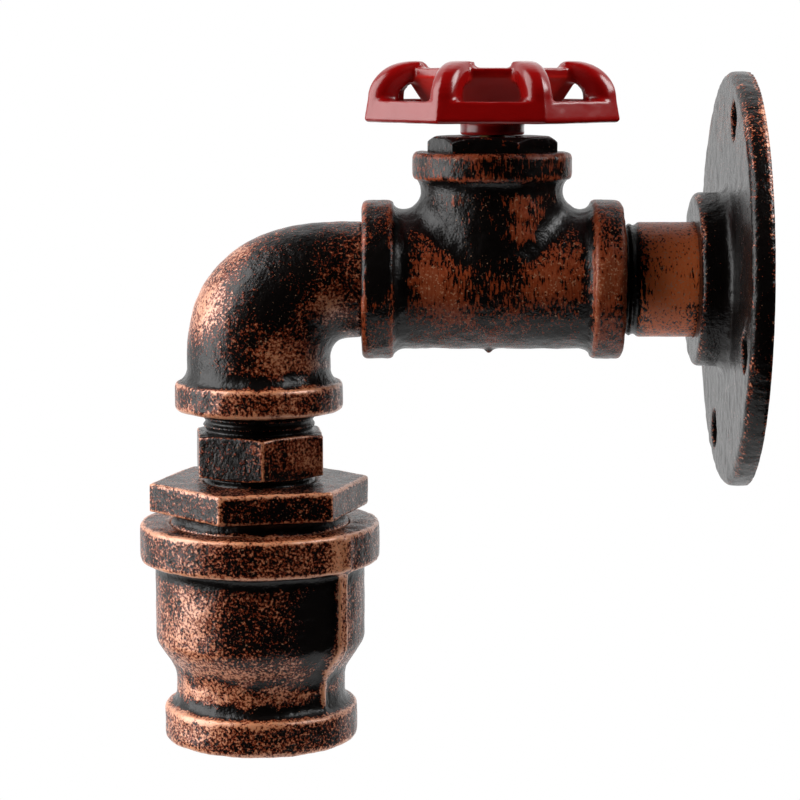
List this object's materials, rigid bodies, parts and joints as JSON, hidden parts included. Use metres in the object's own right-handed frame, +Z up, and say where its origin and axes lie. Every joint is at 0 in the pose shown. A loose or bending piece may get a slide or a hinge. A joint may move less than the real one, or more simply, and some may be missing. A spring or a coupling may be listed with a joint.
{
  "type": "pipe wall light",
  "caption": "Industrial wall light of dry-brushed pipe fittings: wall flange, tee with a red handwheel switch, and an elbow that swivels the downward lampholder.",
  "frame": {"origin": "centre of the flange's back face, on the wall and on the pipe's axis", "axes": "+X into the wall along the pipe's axis, +Z up, so the lamp stands out from the wall along -X"},
  "size_m": [0.1414, 0.096, 0.159],
  "materials": {
    "coppered_iron": "black paint over cast iron, dry-brushed with copper",
    "black_iron": "gloss black paint",
    "red_paint": "gloss red enamel",
    "steel": "zinc plated",
    "brass": "bright",
    "phenolic": "moulded",
    "porcelain": "glazed porcelain, for which gloss plastic stands in",
    "brown_core": "wire insulation",
    "blue_core": "wire insulation",
    "black_flex": "sheathed flex"
  },
  "bodies": {
    "wall_pipe": {"floor_flange": "coppered_iron", "pipe_nipple": "coppered_iron", "tee": "coppered_iron", "bonnet": "black_iron", "switch_housing": "steel", "switch_base": "phenolic", "switch_terminals": "brass", "switch_washer": "steel", "switch_nut": "steel", "supply_live": "brown_core", "switched_live": "brown_core", "neutral_lead": "blue_core", "tee_flex": "black_flex"},
    "wheel": {"handwheel": "red_paint", "handwheel_hub": "red_paint", "switch_shaft": "brass", "switch_rotor": "phenolic", "wheel_washer": "steel", "wheel_nut": "steel"},
    "lamp_arm": {"street_elbow": "coppered_iron", "hex_nipple": "coppered_iron", "reducing_bushing": "coppered_iron", "bell_reducer": "coppered_iron", "support_plate": "steel", "support_nut": "steel", "support_tube": "brass", "holder_cap": "porcelain", "contact_block": "porcelain", "holder_skirt": "porcelain", "screw_shell": "brass", "terminal_screws": "brass", "contact_spring": "steel", "head_flex": "black_flex"},
    "contact": {"centre_contact": "brass"}
  },
  "joints": [
    {"name": "wheel_turn", "type": "hinge", "parent": "wall_pipe", "child": "wheel", "pos_m": [-0.059, 0, 0.0335], "axis": [0, 0, 1], "range_deg": [-300, 0]},
    {"name": "elbow_swivel", "type": "hinge", "parent": "wall_pipe", "child": "lamp_arm", "pos_m": [-0.0891, 0, 0], "axis": [1, 0, 0], "range_deg": [-90, 90]},
    {"name": "contact_press", "type": "slide", "parent": "lamp_arm", "child": "contact", "axis": [0, 0, 1], "range_m": [0, 0.002], "stiffness_N_per_m": 1000, "springref_m": -0.001, "deforming": ["contact_spring"]}
  ]
}
